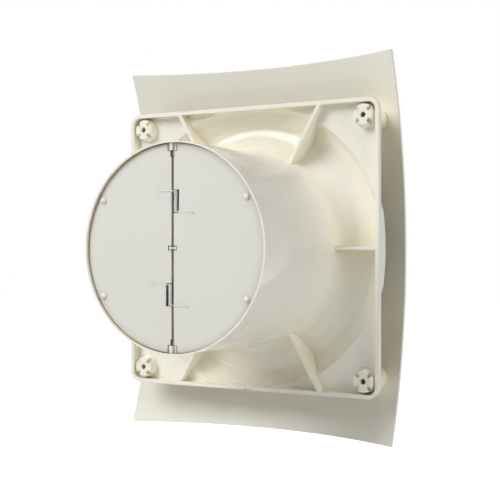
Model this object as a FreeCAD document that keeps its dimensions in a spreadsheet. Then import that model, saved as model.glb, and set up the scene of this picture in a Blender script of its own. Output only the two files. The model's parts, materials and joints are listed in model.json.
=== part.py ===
import FreeCAD, Part
import math
import os
import Sketcher

# Axial exhaust fan for a wall duct, in millimetres.
# The origin is on the duct axis in the plane that lies on the wall.
# +Y runs into the duct, -Y to the room, +Z up.

SIZES = {
    # square base tray
    "base_margin": 24.5,
    "base_corner_radius": 6.0,
    "rim_wall": 2.0,
    "tray_floor": 1.8,
    "tray_depth": 6.8,
    # duct spigot and the bell around it
    "duct_radius": 50.0,
    "duct_wall": 1.6,
    "spigot_length": 67.6,
    "foot_step": 0.8,
    "foot_height": 1.5,
    "foot_taper": 18.0,
    "cove_radius": 14.0,
    "recess_depth": 13.0,
    "recess_rim_reach": 25.5,
    "recess_edge_reach": 22.6,
    "recess_edge_rise": 4.2,
    "recess_floor_reach": 16.0,
    "recess_edge_round": 0.8,
    "recess_floor_round": 4.0,
    "rib_thickness": 1.8,
    "snap_slot_width": 6.0,
    "snap_slot_height": 0.9,
    "snap_slot_below_end": 3.1,
    "snap_lug_inset": 0.9,
    "cable_notch_width": 6.0,
    "cable_notch_depth": 3.0,
    # corner crowns, wall screws and the sockets for the panel's posts
    "screw_inset": 8.5,
    "crown_foot_radius": 6.4,
    "crown_radius": 5.5,
    "crown_edge": 0.6,
    "wall_screw_radius": 1.4,
    "socket_radius": 2.7,
    "socket_floor": 1.8,
    "crown_notch_width": 1.8,
    "crown_notch_length": 2.4,
    "crown_notch_depth": 2.2,
    # bowed front panel
    "panel_width": 156.6,
    "panel_height": 196.6,
    "panel_thickness": 2.0,
    "panel_bow_across": 16.5,
    "panel_bow_up": 18.0,
    "panel_reach": 44.7,
    "post_radius": 4.8,
    "post_tip_length": 3.2,
    "post_bore_radius": 2.0,
    "post_bore_depth": 12.0,
    "sliding_clearance": 0.1,
    # check valve: ring, flaps, hinge pins
    "collar_height": 3.7,
    "collar_wall": 0.9,
    "ledge_thickness": 0.9,
    "ledge_radius": 43.0,
    "skirt_length": 9.6,
    "skirt_wall": 1.4,
    "flap_edge_gap": 0.3,
    "flap_thickness": 1.2,
    "flap_seat_gap": 0.1,
    "hinge_offset": 1.5,
    "hinge_rise": 0.4,
    "hinge_lid": 0.35,
    "barrel_radius": 1.1,
    "barrel_end_gap": 0.4,
    "pin_radius": 0.4,
    "pin_end_depth": 0.4,
    "running_clearance": 0.05,
    "hinge_boss_half": 2.2,
    "hinge_boss_length": 3.6,
    "hinge_boss_cap": 0.3,
    "hinge_rib_half": 0.6,
    "hinge_rib_height": 1.0,
    "hinge_end_gap": 0.3,
    "hinge_side_gap": 0.45,
    "clip_width": 1.6,
    "clip_radius": 0.7,
    "bumper_radius": 1.5,
    "bumper_inset": 2.8,
    # closing springs
    "wire_radius": 0.14,
    "coil_radius": 1.0,
    "coil_pitch": 0.74,
    "coil_middle": 21.8,
    "long_leg": 11.5,
    "short_leg": 8.5,
    "leg_lift": 0.1,
    "foot_bend": 0.6,
    "spring_window_past": 1.05,
    "spring_window_end": 0.45,
    # motor bracket on three arms
    "boss_radius": 4.0,
    "boss_height": 5.0,
    "boss_circle_reach": 12.5,
    "screw_core_radius": 1.25,
    "bolt_radius": 1.5,
    "screw_head_radius": 2.8,
    "screw_head_height": 1.8,
    "screw_slot_width": 0.8,
    "screw_slot_depth": 0.9,
    "screw_bite": 5.5,
    "screw_clearance": 0.2,
    "arm_width": 7.0,
    "arm_thickness": 4.0,
    "hub_plate_radius": 28.5,
    # motor
    "motor_radius": 27.0,
    "cover_wall": 1.6,
    "cover_front_depth": 8.5,
    "cover_rear_depth": 8.5,
    "stack_length": 18.0,
    "stator_ring": 6.2,
    "pole_tip": 1.0,
    "pole_width": 9.0,
    "rotor_radius": 12.8,
    "air_gap": 0.4,
    "bobbin_wall": 0.8,
    "winding_thickness": 2.4,
    "winding_height": 4.2,
    "fit_clearance": 0.03,
    "shaft_radius": 2.5,
    "shaft_front_reach": 0.8,
    "bush_radius": 4.5,
    "bush_length": 6.0,
    "bearing_boss_wall": 2.5,
    "washer_thickness": 0.6,
    "washer_radius": 5.5,
    "nut_height": 2.4,
    "nut_radius": 3.1,
    # impeller
    "impeller_gap": 1.6,
    "impeller_depth": 14.0,
    "impeller_wall": 1.6,
    "impeller_hub_radius": 19.0,
    "impeller_boss_radius": 5.5,
    "tip_clearance": 1.6,
    "blade_thickness": 1.5,
    "blade_camber": 3.0,
    "shaft_clip_thickness": 1.2,
    "shaft_clip_radius": 5.0,
    "shaft_end": 0.8,
    # wiring
    "wiring_reach": 11.8,
    "terminal_pad_height": 2.4,
    "terminal_length": 24.0,
    "terminal_width": 8.6,
    "terminal_height": 8.0,
    "terminal_screw_radius": 1.7,
    "terminal_screw_sink": 1.6,
    "terminal_screw_depth": 4.0,
    "terminal_pitch": 6.0,
    "clamp_length": 18.0,
    "clamp_width": 7.0,
    "clamp_height": 5.0,
    "cable_groove_radius": 2.8,
    "wiring_bite": 3.0,
    "lead_radius": 1.5,
    "lead_bend": 4.0,
    "lead_start_radius": 20.0,
    "lead_end_offset": 1.2,
    "lead_exit_radius": 2.6,
    "grommet_wall": 0.8,
    "grommet_flange": 1.2,
    "grommet_flange_height": 1.0,
    "lead_eye_width": 4.0,
    "lead_eye_wall": 1.2,
    # one overrun serves every cut
    "overrun": 1.0,
}

RIB_TURNS = (0, 60, 120)
SNAP_TURNS = (45, 135, 225, 315)
ARM_TURNS = (30, 150, 270)
MOTOR_SCREW_TURNS = (45, 135, 225, 315)
POLE_TURNS = (0, 90, 180, 270)
WIRING_TURN = 30
CLAMP_TURN = 48
BLADE_COUNT = 7
NUT_SIDES = 6
TERMINAL_COUNT = 3
SPRING_TURNS = 13
ARC_PAIRS_PER_TURN = 4
RIGHT_BUMPER_TURNS = (30, 330)
LEFT_BUMPER_TURNS = (150, 210)
CORNERS = ((1, 1), (1, -1), (-1, 1), (-1, -1))
TRAY_ROUND_SHARE = 0.75
BOSS_BITE_SHARE = 0.75
NOTCH_INSIDE_SHARE = 0.9
BLADE_ROOT_PITCH = 48
BLADE_TIP_PITCH = 27
BLADE_STATION_SHARES = (0, 0.5, 1)
BLADE_DEPTH_SHARE = 0.85
BLADE_ROOT_SHARE = 0.75
CLIP_BAR_SHARE = 0.6
END_RING_SHARE = 0.8
TERMINAL_START_SHARE = 0.6
ENTRY_SHARE = 0.7
PANEL_SWEEP = 90
FULL_TURN = 360
FLAT_EDGE_SHARE = 0.001
GAP_STATIONS = 12

doc = FreeCAD.newDocument("AxialExhaustFan")
sheet = doc.addObject("Spreadsheet::Sheet", "Sizes")
for row, (alias, value) in enumerate(SIZES.items(), start=1):
    sheet.set("A%d" % row, alias.replace("_", " "))
    sheet.set("B%d" % row, str(value))
    sheet.setAlias("B%d" % row, alias)
doc.recompute()

V = FreeCAD.Vector


class Size:
    """A length of the sheet or a sum made from them: its value, and the same sum as an expression."""

    def __init__(self, value, text):
        self.value = value
        self.text = text

    def __add__(self, other):
        other = as_size(other)
        return Size(self.value + other.value, "(%s + %s)" % (self.text, other.text))

    __radd__ = __add__

    def __neg__(self):
        return Size(-self.value, "(0 - %s)" % self.text)

    def __sub__(self, other):
        other = as_size(other)
        return Size(self.value - other.value, "(%s - %s)" % (self.text, other.text))

    def __rsub__(self, other):
        return as_size(other) - self

    def __mul__(self, other):
        other = as_size(other)
        return Size(self.value * other.value, "(%s * %s)" % (self.text, other.text))

    __rmul__ = __mul__

    def __truediv__(self, other):
        other = as_size(other)
        return Size(self.value / other.value, "(%s / %s)" % (self.text, other.text))


def as_size(thing):
    """A plain number becomes a size without an alias."""
    if isinstance(thing, Size):
        return thing
    return Size(float(thing), "(%.9f)" % thing)


def root(size):
    return Size(math.sqrt(size.value), "sqrt(%s)" % size.text)


class Named:
    """Each alias of the sheet as a size of the same name."""

    def __getattr__(self, alias):
        return Size(float(sheet.get(alias)), "Sizes.%s" % alias)


size = Named()


def bind(obj, prop, length):
    """A property follows the sheet."""
    obj.setExpression(prop, as_size(length).text)


def place(obj, spot, turn=0, tilt=FreeCAD.Rotation()):
    """Puts an object at a spot that is then turned about the duct axis, with the object's own tilt first."""
    swing = FreeCAD.Rotation(V(0, 1, 0), turn)
    cosine = math.cos(math.radians(turn))
    sine = math.sin(math.radians(turn))
    x, y, z = (as_size(part) for part in spot)
    moved = (x * cosine + z * sine, y, z * cosine - x * sine)
    obj.Placement = FreeCAD.Placement(V(*(part.value for part in moved)), swing * tilt)
    for letter, part in zip("xyz", moved):
        bind(obj, "Placement.Base.%s" % letter, part)
    return obj


ALONG_Y = FreeCAD.Rotation(V(1, 0, 0), -90)
ALONG_X = FreeCAD.Rotation(V(0, 1, 0), 90)
UPRIGHT = FreeCAD.Rotation()


def box(name, low, high, turn=0):
    """A block between two corners, turned about the duct axis."""
    block = doc.addObject("Part::Box", name)
    low = [as_size(part) for part in low]
    for prop, start, end in zip(("Length", "Width", "Height"), low, high):
        bind(block, prop, end - start)
    return place(block, low, turn)


def rod(name, radius, start, length, turn=0, tilt=ALONG_Y):
    """A cylinder from a start point, along Y unless tilted."""
    cylinder = doc.addObject("Part::Cylinder", name)
    bind(cylinder, "Radius", radius)
    bind(cylinder, "Height", length)
    return place(cylinder, start, turn, tilt)


def taper(name, first_radius, last_radius, start, length, turn=0, tilt=ALONG_Y):
    """A cone from a start point, along Y unless tilted."""
    cone = doc.addObject("Part::Cone", name)
    bind(cone, "Radius1", first_radius)
    bind(cone, "Radius2", last_radius)
    bind(cone, "Height", length)
    return place(cone, start, turn, tilt)


def fuse(name, pieces, refine=True):
    whole = doc.addObject("Part::MultiFuse", name)
    whole.Shapes = pieces
    whole.Refine = refine
    return whole


def common(name, pieces):
    whole = doc.addObject("Part::MultiCommon", name)
    whole.Shapes = pieces
    return whole


def cut(name, base, tools):
    tool = tools[0] if len(tools) == 1 else fuse(name + "_tools", tools)
    whole = doc.addObject("Part::Cut", name)
    whole.Base = base
    whole.Tool = tool
    return whole


def group(name, pieces):
    """Separate solids that share one node."""
    whole = doc.addObject("Part::Compound", name)
    whole.Links = pieces
    return whole


def outline(body, name, role, corners):
    """A closed sketch with straight sides through corners, each tied to the sheet."""
    sketch = body.newObject("Sketcher::SketchObject", name)
    plane = [part for part in body.Origin.OriginFeatures if part.Role == role][0]
    sketch.AttachmentSupport = (plane, [""])
    sketch.MapMode = "FlatFace"
    spots = [(as_size(across), as_size(along)) for across, along in corners]
    count = len(spots)
    points = [V(across.value, along.value, 0) for across, along in spots]
    sketch.addGeometry([Part.LineSegment(points[i], points[(i + 1) % count]) for i in range(count)])
    rules = [Sketcher.Constraint("Coincident", i, 2, (i + 1) % count, 1) for i in range(count)]
    for i, point in enumerate(points):
        rules.append(Sketcher.Constraint("DistanceX", -1, 1, i, 1, point.x))
        rules.append(Sketcher.Constraint("DistanceY", -1, 1, i, 1, point.y))
    sketch.addConstraint(rules)
    for i, (across, along) in enumerate(spots):
        bind(sketch, "Constraints[%d]" % (count + 2 * i), across)
        bind(sketch, "Constraints[%d]" % (count + 2 * i + 1), along)
    return sketch


def round_edges(body, base, name, wanted, radius):
    """Rounds the edges of a feature that a test picks out."""
    doc.recompute()
    names = ["Edge%d" % (i + 1) for i, edge in enumerate(base.Shape.Edges) if wanted(edge)]
    rounding = body.newObject("PartDesign::Fillet", name)
    rounding.Base = (base, names)
    bind(rounding, "Radius", radius)
    body.Tip = rounding
    return rounding


def ring_edge(radius, height):
    """Picks the circular edge of a radius at a height along the duct axis."""
    def wanted(edge):
        curve = edge.Curve
        if not isinstance(curve, Part.Circle):
            return False
        return math.isclose(curve.Radius, radius.value) and math.isclose(curve.Center.y, height.value)
    return wanted


def turned(name, corners, rounds=()):
    """A piece turned about the duct axis from corners given as radius and height, with rounded ring edges."""
    body = doc.addObject("PartDesign::Body", name)
    feature = body.newObject("PartDesign::Revolution", name + "_turning")
    feature.Profile = outline(body, name + "_profile", "XY_Plane", corners)
    feature.ReferenceAxis = (feature.Profile[0], ["V_Axis"])
    feature.Angle = FULL_TURN
    body.Tip = feature
    for number, (radius, height, rounding) in enumerate(rounds):
        wanted = ring_edge(radius, height)
        feature = round_edges(body, feature, "%s_round_%d" % (name, number), wanted, rounding)
    return body


def ring(name, inner, outer, start, end):
    """A plain ring about the duct axis."""
    return turned(name, ((inner, start), (outer, start), (outer, end), (inner, end)))


def upright_edge(edge):
    """Picks straight edges that run along Y."""
    return isinstance(edge.Curve, Part.Line) and math.isclose(abs(edge.tangentAt(edge.FirstParameter).y), 1)


def square_prism(name, half, start, end, corner):
    """A square block about the duct axis with rounded corners; the sketch plane faces -Y."""
    body = doc.addObject("PartDesign::Body", name)
    pad = body.newObject("PartDesign::Pad", name + "_pad")
    corners = ((-half, -half), (half, -half), (half, half), (-half, half))
    pad.Profile = outline(body, name + "_square", "XZ_Plane", corners)
    bind(pad, "Length", end - start)
    body.Tip = pad
    round_edges(body, pad, name + "_corners", upright_edge, corner)
    place(body, (0, end, 0))
    return body


def finish(obj, node):
    """Names the object that becomes a node."""
    obj.Label = node
    NODES.append(obj)
    return obj


NODES = []

# Levels, radii and places that several pieces share
half_base = size.duct_radius + size.base_margin
half_screws = half_base - size.screw_inset
recess_rim_radius = size.duct_radius + size.recess_rim_reach
recess_edge_radius = size.duct_radius + size.recess_edge_reach
recess_floor_radius = size.duct_radius + size.recess_floor_reach
boss_circle_radius = size.duct_radius + size.boss_circle_reach
pilot_radius = size.screw_core_radius + size.fit_clearance
tray_front = -size.tray_depth
floor_level = -(size.tray_depth - size.tray_floor)
recess_level = -size.recess_depth
recess_edge_level = recess_level + size.recess_edge_rise
bell_front = recess_level - size.duct_wall
bore_radius = size.duct_radius - size.duct_wall
foot_radius = size.duct_radius + size.foot_step
boss_front = bell_front - size.boss_height
arm_front = boss_front - size.arm_thickness
arm_middle = boss_front - size.arm_thickness / 2
motor_front = boss_front
stack_front = motor_front + size.cover_front_depth
stack_rear = stack_front + size.stack_length
motor_rear = stack_rear + size.cover_rear_depth
impeller_front = motor_rear + size.nut_height + size.impeller_gap
impeller_rear = impeller_front + size.impeller_depth
shaft_rear = impeller_rear + size.shaft_clip_thickness + size.shaft_end
collar_end = size.spigot_length + size.collar_height
ledge_level = size.spigot_length + size.ledge_thickness
collar_inner = size.duct_radius - size.collar_wall
flap_front = ledge_level + size.flap_seat_gap
flap_rear = flap_front + size.flap_thickness
hinge_level = flap_front + size.hinge_rise
flap_radius = collar_inner - size.flap_edge_gap
pin_half = collar_inner + size.pin_end_depth
boss_inner = collar_inner - size.hinge_boss_length
barrel_half = size.ledge_radius - size.barrel_end_gap
coil_half = size.coil_pitch * SPRING_TURNS / 2
window_half = coil_half + size.wire_radius + size.spring_window_end
coil_high = size.coil_middle + coil_half
wiring_radius = size.duct_radius + size.wiring_reach
pad_level = recess_level + size.terminal_pad_height
grommet_radius = size.lead_radius + size.grommet_wall
flange_radius = grommet_radius + size.grommet_flange
lead_side = size.boss_radius + flange_radius + size.flap_edge_gap
lead_reach = wiring_radius + size.lead_end_offset


# Housing: tray, bell, spigot, ribs, crowns and bosses in one moulding
def cone_offset():
    """How far the bell's outer cone moves outward and forward for the thickness of the wall."""
    across = recess_rim_radius - recess_edge_radius
    along = floor_level - recess_edge_level
    slope = root(across * across + along * along)
    return size.duct_wall * along / slope, size.duct_wall * across / slope


def base_envelope():
    """All that lies behind the front face of the tray and the bell."""
    tray = square_prism("tray_block", half_base, tray_front, as_size(0), size.base_corner_radius)

    def front_edge(edge):
        box_of_edge = edge.BoundBox
        flat = box_of_edge.YLength < box_of_edge.DiagonalLength * FLAT_EDGE_SHARE
        return flat and math.isclose(box_of_edge.YMax, edge_level)

    pad = tray.Tip
    doc.recompute()
    edge_level = min(vertex.Y for vertex in pad.Shape.Vertexes)
    rounding = size.base_corner_radius * TRAY_ROUND_SHARE
    round_edges(tray, pad, "tray_front_round", front_edge, rounding)
    outward, forward = cone_offset()
    front_cone_radius = recess_edge_radius + outward
    front_cone_level = recess_edge_level - forward
    rim_radius = recess_rim_radius + outward
    rim_level = floor_level - forward
    bell = turned("bell_block", (
        (bore_radius, 0),
        (bore_radius, bell_front),
        (recess_floor_radius + outward, bell_front),
        (front_cone_radius, front_cone_level),
        (rim_radius, rim_level),
        (rim_radius, 0),
    ))
    mask_start = bell_front - size.overrun
    mask = square_prism("tray_mask", half_base, mask_start, as_size(0), size.base_corner_radius)
    return fuse("base_block", [tray, common("bell_in_square", [bell, mask])])


def base_cavity():
    """The hollow of the tray and of the round recess behind the bell."""
    inner_half = half_base - size.rim_wall
    inner_corner = size.base_corner_radius - size.rim_wall
    hollow = square_prism("tray_hollow", inner_half, floor_level, size.overrun, inner_corner)
    recess = turned("bell_recess", (
        (bore_radius, size.overrun),
        (bore_radius, recess_level),
        (recess_floor_radius, recess_level),
        (recess_edge_radius, recess_edge_level),
        (recess_rim_radius, floor_level),
        (recess_rim_radius, size.overrun),
    ), (
        (recess_floor_radius, recess_level, size.recess_floor_round),
        (recess_edge_radius, recess_edge_level, size.recess_edge_round),
    ))
    mask = square_prism("hollow_mask", inner_half, recess_level - size.overrun, size.overrun, inner_corner)
    return fuse("base_hollow", [hollow, common("recess_in_square", [recess, mask])])


def spigot():
    """The duct spigot with its tapered foot, its wide cove and the rounded inlet, down to the bell's floor."""
    foot_end = foot_radius + size.cove_radius
    lap = foot_end + size.duct_wall
    body = turned("spigot", (
        (bore_radius, size.spigot_length),
        (bore_radius, bell_front),
        (lap, bell_front),
        (lap, recess_level),
        (foot_radius, recess_level),
        (foot_radius, size.foot_height),
        (size.duct_radius, size.foot_height + size.foot_taper),
        (size.duct_radius, size.spigot_length),
    ), (
        (foot_radius, recess_level, size.cove_radius),
        (bore_radius, bell_front, size.cove_radius + size.duct_wall),
    ))
    slots = []
    for turn in SNAP_TURNS:
        middle = size.spigot_length - size.snap_slot_below_end
        slots.append(box(
            "snap_slot_%d" % turn,
            (bore_radius - size.overrun, middle - size.snap_slot_height / 2, -size.snap_slot_width / 2),
            (size.duct_radius + size.overrun, middle + size.snap_slot_height / 2, size.snap_slot_width / 2),
            turn,
        ))
    return cut("slotted_spigot", body, slots)


def ribs(envelope):
    """Six thin ribs from the spigot to the rim, three blocks across the whole base."""
    reach = half_base * 2
    blocks = []
    for turn in RIB_TURNS:
        blocks.append(box(
            "rib_%d" % turn,
            (-reach, recess_level - size.duct_wall / 2, -size.rib_thickness / 2),
            (reach, 0, size.rib_thickness / 2),
            turn,
        ))
    trimmed = common("ribs_in_base", [fuse("rib_blocks", blocks), envelope])
    middle_radius = size.duct_radius - size.duct_wall / 2
    hole = rod("rib_bore", middle_radius, (0, bell_front - size.overrun, 0), size.recess_depth * 2)
    return cut("ribs", trimmed, [hole])


def crown(number, across, up):
    """A corner crown: a tapered boss with a rounded end."""
    spot = (half_screws * across, floor_level - size.tray_floor / 2, half_screws * up)
    height = -floor_level + size.tray_floor / 2
    shank_height = height - size.crown_edge
    shank = taper("crown_%d" % number, size.crown_foot_radius, size.crown_radius, spot, shank_height)
    end_spot = (spot[0], -size.crown_edge, spot[2])
    end_radius = size.crown_radius - size.crown_edge
    end = taper("crown_end_%d" % number, size.crown_radius, end_radius, end_spot, size.crown_edge)
    return [shank, end]


def crown_cuts(number, across, up):
    """The post socket from the front, the wall screw's hole and the four notches of a crown."""
    x = half_screws * across
    z = half_screws * up
    socket_length = size.tray_depth - size.socket_floor + size.overrun
    socket = rod("socket_%d" % number, size.socket_radius, (x, tray_front - size.overrun, z), socket_length)
    hole = rod(
        "screw_hole_%d" % number, size.wall_screw_radius,
        (x, tray_front, z), size.tray_depth + size.overrun,
    )
    cuts = [socket, hole]
    for turn in SNAP_TURNS:
        notch = doc.addObject("Part::Box", "crown_notch_%d_%d" % (number, turn))
        bind(notch, "Length", size.crown_notch_length)
        bind(notch, "Width", size.crown_notch_depth + size.overrun)
        bind(notch, "Height", size.crown_notch_width)
        cosine = math.cos(math.radians(turn))
        sine = math.sin(math.radians(turn))
        start = size.crown_radius - size.crown_notch_length * NOTCH_INSIDE_SHARE
        side = -size.crown_notch_width / 2
        spot = (x + start * cosine + side * sine, -size.crown_notch_depth, z + side * cosine - start * sine)
        place(notch, spot, 0, FreeCAD.Rotation(V(0, 1, 0), turn))
        cuts.append(notch)
    return cuts


def housing():
    envelope = base_envelope()
    foot_end = foot_radius + size.cove_radius
    hole = rod("bell_hole", foot_end, (0, bell_front - size.overrun, 0), size.recess_depth * 2)
    shell = cut("base_shell", envelope, [base_cavity(), hole])
    adds = [shell, spigot(), ribs(envelope)]
    cuts = []
    for number, (across, up) in enumerate(CORNERS):
        adds.extend(crown(number, across, up))
        cuts.extend(crown_cuts(number, across, up))
    for turn in ARM_TURNS:
        spot = (boss_circle_radius, boss_front, 0)
        length = size.boss_height + size.duct_wall * BOSS_BITE_SHARE
        adds.append(rod("arm_boss_%d" % turn, size.boss_radius, spot, length, turn))
        pilot_start = (boss_circle_radius, boss_front - size.overrun, 0)
        pilot = size.screw_bite + size.overrun + size.screw_clearance
        cuts.append(rod("arm_pilot_%d" % turn, pilot_radius, pilot_start, pilot, turn))
    adds.append(wiring_block("terminal_pad", size.terminal_length, size.terminal_width, lead_side,
                             recess_level - size.duct_wall / 2, pad_level, WIRING_TURN))
    adds.append(wiring_block("clamp_pad", size.clamp_length, size.clamp_width, as_size(0),
                             recess_level - size.duct_wall / 2, pad_level, CLAMP_TURN))
    cuts.append(rod(
        "lead_hole", grommet_radius + size.fit_clearance, (lead_reach, bell_front - size.overrun, lead_side),
        pad_level - bell_front + size.overrun * 2, WIRING_TURN,
    ))
    for number, (spot, turn) in enumerate(wiring_screw_spots()):
        start = (spot[0], pad_level - size.wiring_bite - size.screw_clearance, spot[1])
        cuts.append(rod("wiring_pilot_%d" % number, pilot_radius, start, size.recess_depth, turn))
    cuts.append(box(
        "cable_notch",
        (-size.cable_notch_width / 2, -size.cable_notch_depth, -half_base - size.overrun),
        (size.cable_notch_width / 2, size.overrun, -half_base + size.rim_wall + size.overrun),
    ))
    return finish(cut("housing", fuse("housing_whole", adds), cuts), "housing")


# Front panel: a bowed sheet on four posts
def bowed_plate(name, front_skin, rear_skin):
    """A plate between two depths behind the panel's front face: an arc across, swept up and down, squared."""
    half_width = size.panel_width / 2
    half_height = size.panel_height / 2
    across_bow = size.panel_bow_across
    up_bow = size.panel_bow_up
    across_radius = (half_width * half_width + across_bow * across_bow) / (across_bow * 2)
    up_radius = (half_height * half_height + up_bow * up_bow) / (up_bow * 2)
    middle = across_radius - size.panel_reach
    axis_level = up_radius - size.panel_reach
    body = doc.addObject("PartDesign::Body", name)
    sketch = body.newObject("Sketcher::SketchObject", name + "_band")
    plane = [part for part in body.Origin.OriginFeatures if part.Role == "XY_Plane"][0]
    sketch.AttachmentSupport = (plane, [""])
    sketch.MapMode = "FlatFace"
    reach = half_width.value + size.overrun.value
    ends = []
    for skin in (front_skin, rear_skin):
        radius = across_radius.value - as_size(skin).value
        half_angle = math.asin(reach / radius)
        circle = Part.Circle(V(0, middle.value, 0), V(0, 0, 1), radius)
        down = -math.pi / 2
        arc = Part.ArcOfCircle(circle, down - half_angle, down + half_angle)
        sketch.addGeometry(arc)
        ends.append((arc.StartPoint, arc.EndPoint))
    sketch.addGeometry(Part.LineSegment(ends[0][0], ends[1][0]))
    sketch.addGeometry(Part.LineSegment(ends[0][1], ends[1][1]))
    axis_end = half_width.value
    axis_line = Part.LineSegment(V(-axis_end, axis_level.value, 0), V(axis_end, axis_level.value, 0))
    axis_number = sketch.addGeometry(axis_line, True)
    front_radius = across_radius - front_skin
    rear_radius = across_radius - rear_skin
    tied = (
        (Sketcher.Constraint("Radius", 0, front_radius.value), front_radius),
        (Sketcher.Constraint("Radius", 1, rear_radius.value), rear_radius),
        (Sketcher.Constraint("DistanceY", -1, 1, 0, 3, middle.value), middle),
        (Sketcher.Constraint("DistanceX", -1, 1, 0, 1, -reach), -half_width - size.overrun),
        (Sketcher.Constraint("DistanceX", -1, 1, 0, 2, reach), half_width + size.overrun),
        (Sketcher.Constraint("DistanceX", -1, 1, 1, 1, -reach), -half_width - size.overrun),
        (Sketcher.Constraint("DistanceX", -1, 1, 1, 2, reach), half_width + size.overrun),
        (Sketcher.Constraint("DistanceY", -1, 1, axis_number, 1, axis_level.value), axis_level),
        (Sketcher.Constraint("DistanceX", -1, 1, axis_number, 1, -axis_end), -half_width),
        (Sketcher.Constraint("DistanceX", -1, 1, axis_number, 2, axis_end), half_width),
    )
    sketch.addConstraint([
        Sketcher.Constraint("PointOnObject", 0, 3, -2),
        Sketcher.Constraint("Coincident", 0, 3, 1, 3),
        Sketcher.Constraint("Coincident", 0, 1, 2, 1),
        Sketcher.Constraint("Coincident", 1, 1, 2, 2),
        Sketcher.Constraint("Coincident", 0, 2, 3, 1),
        Sketcher.Constraint("Coincident", 1, 2, 3, 2),
        Sketcher.Constraint("Horizontal", axis_number),
    ])
    for rule, length in tied:
        bind(sketch, "Constraints[%d]" % sketch.addConstraint(rule), length)
    sweep = body.newObject("PartDesign::Revolution", name + "_sweep")
    sweep.Profile = sketch
    sweep.ReferenceAxis = (sketch, ["Axis0"])
    sweep.Midplane = True
    sweep.Angle = PANEL_SWEEP
    body.Tip = sweep
    square = box(
        name + "_square",
        (-half_width, -size.panel_reach - size.overrun, -half_height),
        (half_width, size.panel_reach, half_height),
    )
    return common(name + "_squared", [body, square])


def front_panel():
    sheet_plate = bowed_plate("panel_sheet", 0, size.panel_thickness)
    core = bowed_plate("panel_core", size.panel_thickness / 2, size.panel_reach)
    shoulder = tray_front - size.sliding_clearance
    tip_radius = size.socket_radius - size.sliding_clearance
    posts = []
    tips = []
    bores = []
    for number, (across, up) in enumerate(CORNERS):
        spot = (half_screws * across, -size.panel_reach, half_screws * up)
        posts.append(rod("post_%d" % number, size.post_radius, spot, shoulder + size.panel_reach))
        tip_spot = (spot[0], shoulder - size.overrun, spot[2])
        tips.append(rod("post_tip_%d" % number, tip_radius, tip_spot, size.post_tip_length + size.overrun))
        bore_spot = (spot[0], shoulder - size.post_bore_depth, spot[2])
        bore_length = size.post_bore_depth + size.post_tip_length + size.overrun
        bores.append(rod("post_bore_%d" % number, size.post_bore_radius, bore_spot, bore_length))
    trimmed = common("posts_behind_sheet", [fuse("posts", posts), core])
    whole = fuse("panel_whole", [sheet_plate, trimmed] + tips)
    return finish(cut("front_panel", whole, bores), "front_panel")


# Check valve: ring, two flaps, pins, clip, bumpers and springs
def sided(side, near, far):
    """The low and high end of a stretch on one side of the middle."""
    return (as_size(near), as_size(far)) if side > 0 else (-as_size(far), -as_size(near))


def valve_ring():
    skirt_outer = bore_radius - size.sliding_clearance
    skirt_inner = skirt_outer - size.skirt_wall
    skirt_end = size.spigot_length - size.skirt_length
    adds = [turned("valve_ring_turned", (
        (size.ledge_radius, size.spigot_length),
        (skirt_inner, size.spigot_length),
        (skirt_inner, skirt_end),
        (skirt_outer, skirt_end),
        (skirt_outer, size.spigot_length),
        (size.duct_radius, size.spigot_length),
        (size.duct_radius, collar_end),
        (collar_inner, collar_end),
        (collar_inner, ledge_level),
        (size.ledge_radius, ledge_level),
    ))]
    middle = size.spigot_length - size.snap_slot_below_end
    lug_half = size.snap_slot_width / 2 - size.sliding_clearance
    lug_height = size.snap_slot_height / 2 - size.sliding_clearance
    lug_end = size.duct_radius - size.snap_lug_inset
    for turn in SNAP_TURNS:
        low = (skirt_inner + size.skirt_wall / 2, middle - lug_height, -lug_half)
        adds.append(box("snap_lug_%d" % turn, low, (lug_end, middle + lug_height, lug_half), turn))
    cuts = []
    half = size.hinge_boss_half
    rib = size.hinge_rib_half
    level = ledge_level - size.ledge_thickness / 2
    top = hinge_level + size.pin_radius + size.hinge_boss_cap
    for side in (1, -1):
        low, high = sided(side, boss_inner, collar_inner + size.collar_wall / 2)
        adds.append(box("hinge_boss_%d" % side, (-half, level, low), (half, top, high)))
        adds.append(box("hinge_rib_%d" % side, (-rib, level, low), (rib, top + size.hinge_rib_height, high)))
        hole = size.pin_radius + size.fit_clearance
        length = (pin_half + size.fit_clearance) * 2
        spot = (size.hinge_offset * side, hinge_level, -pin_half - size.fit_clearance)
        cuts.append(rod("pin_socket_%d" % side, hole, spot, length, 0, UPRIGHT))
    return finish(cut("valve_ring", fuse("valve_ring_whole", adds), cuts), "valve_ring")


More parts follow.
